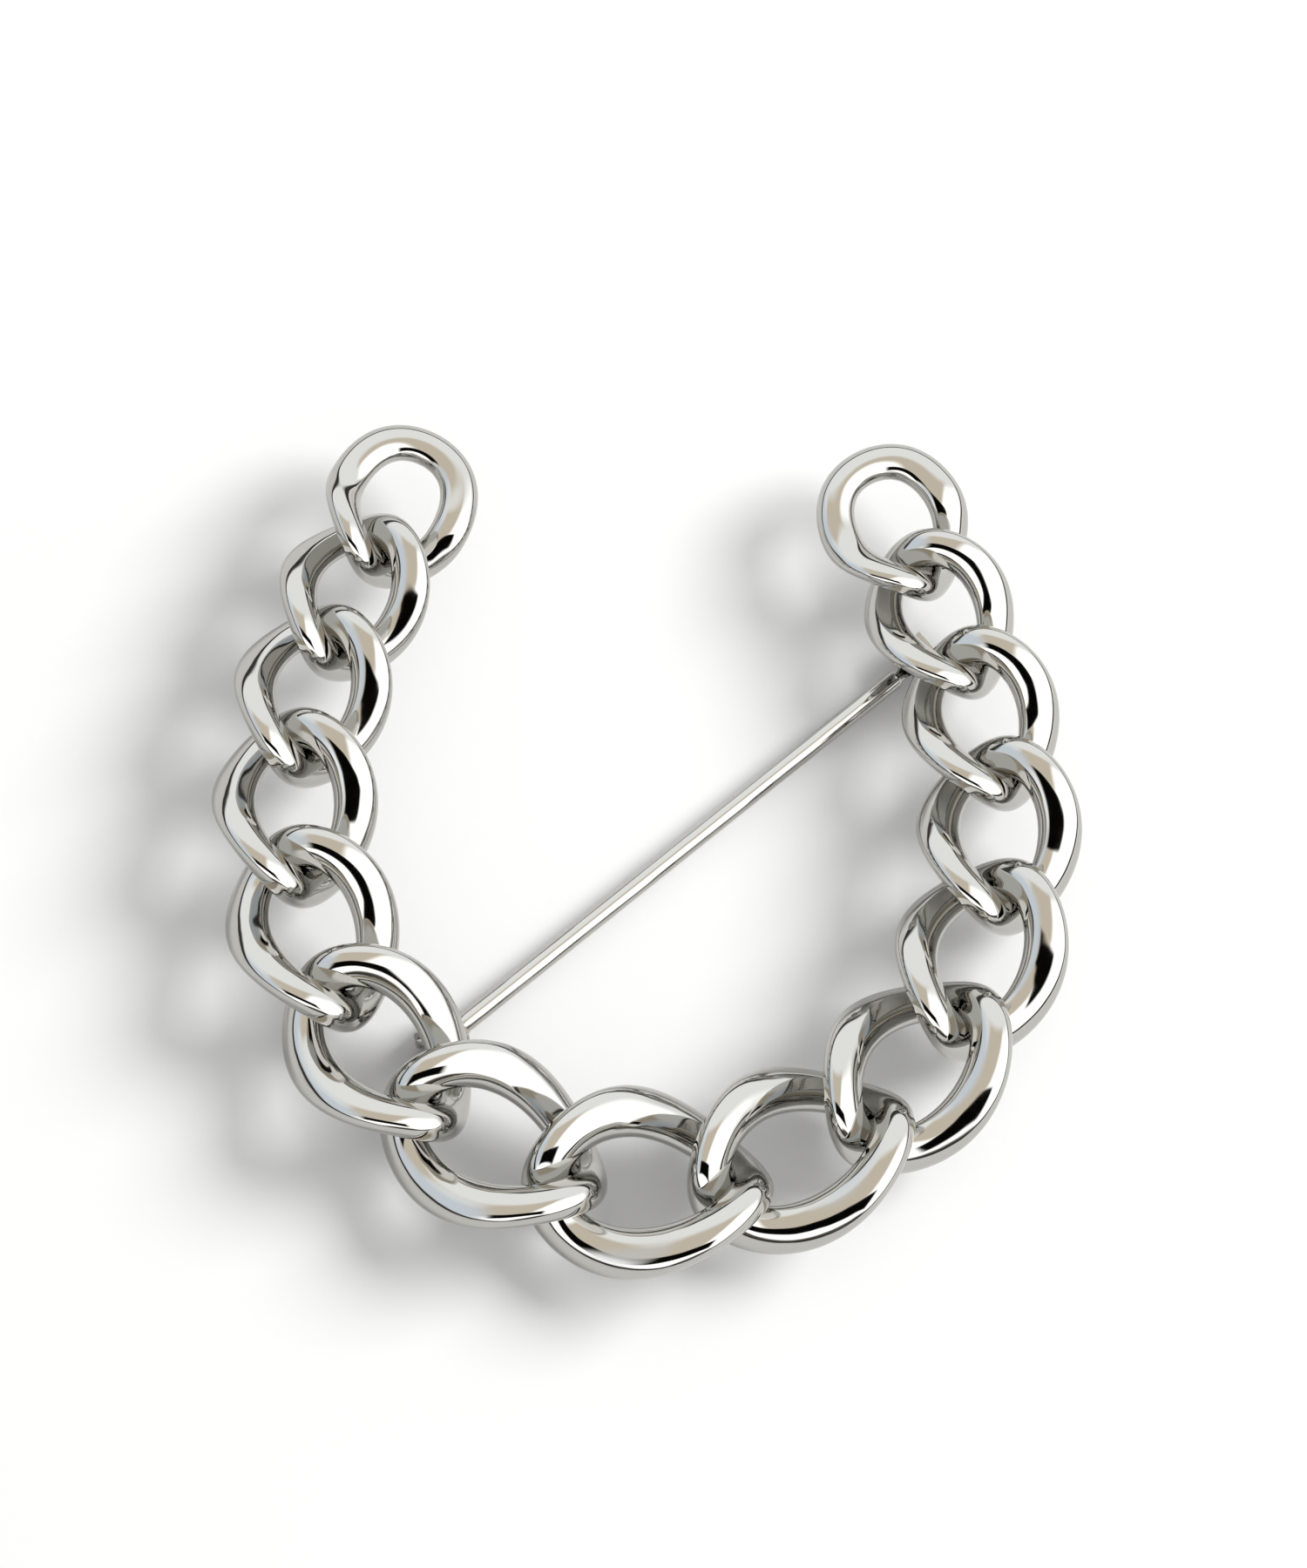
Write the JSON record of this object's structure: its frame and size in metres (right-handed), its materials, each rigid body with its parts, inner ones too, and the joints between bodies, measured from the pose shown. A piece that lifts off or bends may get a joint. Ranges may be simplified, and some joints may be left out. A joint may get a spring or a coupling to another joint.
{
  "type": "chain link brooch",
  "caption": "Horseshoe brooch of graded twisted curb-chain links in polished silver-tone metal, with a hinged pin stem and a turning safety catch on the back.",
  "frame": {"origin": "centre of the brooch's box in X and Y, at the lowest edge of the catch", "axes": "+Z out of the front of the brooch, +Y from the bottom of the horseshoe towards its open ends, +X to the right seen from the front"},
  "size_m": [0.0582, 0.0586, 0.0097],
  "materials": {
    "polished_link": "mirror polished silver-tone plating",
    "soldered_fitting": "plated over brushed brass, satin",
    "rivet": "hammered rivet heads",
    "pin_wire": "drawn and polished spring wire",
    "barrel": "polished plating"
  },
  "bodies": {
    "brooch": {"link_01": "polished_link", "link_02": "polished_link", "link_03": "polished_link", "link_04": "polished_link", "link_05": "polished_link", "link_06": "polished_link", "link_07": "polished_link", "link_08": "polished_link", "link_09": "polished_link", "link_10": "polished_link", "link_11": "polished_link", "link_12": "polished_link", "link_13": "polished_link", "link_14": "polished_link", "link_15": "polished_link", "hinge_bracket": "soldered_fitting", "hinge_rivet": "rivet", "catch_bracket": "soldered_fitting"},
    "stem": {"pin_stem": "pin_wire"},
    "barrel": {"safety_barrel": "barrel"}
  },
  "joints": [
    {"name": "stem_hinge", "type": "hinge", "parent": "brooch", "child": "stem", "pos_m": [0.0187, 0.01565, 0.00137], "axis": [0.6561, -0.7547, 0], "range_deg": [0, 80]},
    {"name": "barrel_turn", "type": "hinge", "parent": "brooch", "child": "barrel", "pos_m": [-0.01307, -0.01197, 0.00137], "axis": [0.7547, 0.6561, 0], "range_deg": [0, 95]}
  ]
}
